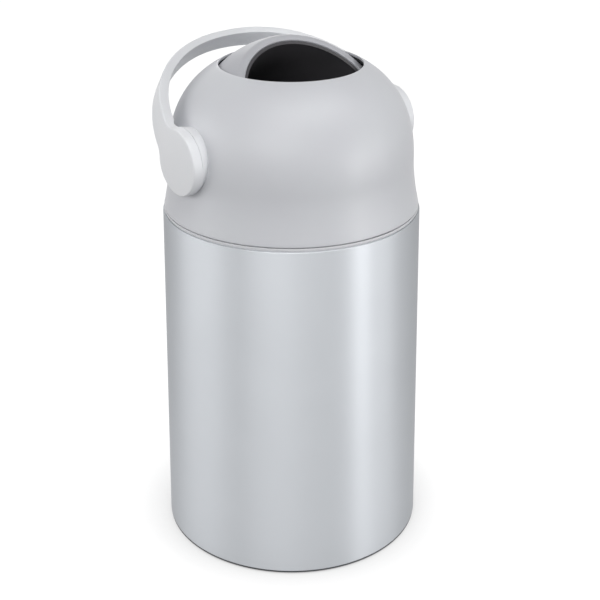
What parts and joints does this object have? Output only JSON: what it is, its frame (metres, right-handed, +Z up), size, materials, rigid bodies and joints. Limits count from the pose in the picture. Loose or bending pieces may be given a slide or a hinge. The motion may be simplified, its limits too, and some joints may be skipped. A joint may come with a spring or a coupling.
{
  "type": "nappy bin",
  "caption": "Tall round nappy bin: steel pail, hinged domed lid, ball drum turned over by the carrying handle, and a weighted piston that slides in the drum and pushes the load out.",
  "frame": {"origin": "centre of the footprint, on the floor under the foot ring", "axes": "+Z up along the pail's axis, -Y towards the front, +X to the right seen from the front, along the handle's pivot axis"},
  "size_m": [0.282, 0.2869, 0.5437],
  "materials": {
    "silver_enamel": "satin metallic silver paint on sheet steel",
    "dome_plastic": "light grey moulded plastic, fine satin",
    "handle_plastic": "white moulded plastic, smooth satin",
    "drum_plastic": "light grey moulded plastic, smooth satin",
    "collar_plastic": "grey moulded plastic",
    "pale_plastic": "pale grey moulded plastic",
    "dark_plastic": "dark grey moulded plastic",
    "black_plastic": "black moulded plastic",
    "rubber": "dark grey soft rubber",
    "steel": "zinc-plated steel",
    "hinge_steel": "grey painted steel",
    "weight_iron": "plain cast iron"
  },
  "bodies": {
    "pail": {"foot_ring": "rubber", "base_cap": "dark_plastic", "pail_shell": "silver_enamel", "rim_collar": "collar_plastic", "bag_ring": "pale_plastic", "hinge_bracket": "hinge_steel", "hinge_pin": "steel", "bracket_screws": "steel", "latch_catch": "collar_plastic"},
    "lid": {"lid_dome": "dome_plastic", "lid_cradle": "collar_plastic", "lid_gasket": "rubber", "lower_seal": "rubber", "upper_seal": "rubber", "cradle_screws": "steel", "hinge_leaf": "hinge_steel", "leaf_screws": "steel", "latch_hook": "collar_plastic", "left_bush": "pale_plastic", "right_bush": "pale_plastic", "left_boss": "handle_plastic", "right_boss": "handle_plastic"},
    "drum": {"drum_mouth_half": "drum_plastic", "drum_closed_half": "drum_plastic", "chamber_liner": "black_plastic", "left_trunnion": "dark_plastic", "right_trunnion": "dark_plastic", "handle": "handle_plastic", "handle_screws": "steel"},
    "piston": {"piston": "dark_plastic", "piston_seal": "rubber", "piston_weight": "weight_iron", "piston_cover": "dark_plastic", "piston_screw": "steel"}
  },
  "joints": [
    {"name": "lid_hinge", "type": "hinge", "parent": "pail", "child": "lid", "pos_m": [0, 0.141, 0.372], "axis": [-1, 0, 0], "range_deg": [0, 100]},
    {"name": "drum_turn", "type": "hinge", "parent": "lid", "child": "drum", "pos_m": [0, 0, 0.44238], "axis": [1, 0, 0], "range_deg": [-36.2, 143.8]},
    {"name": "piston_slide", "type": "slide", "parent": "drum", "child": "piston", "axis": [0, -0.6428, 0.766], "range_m": [0, 0.0988]}
  ]
}
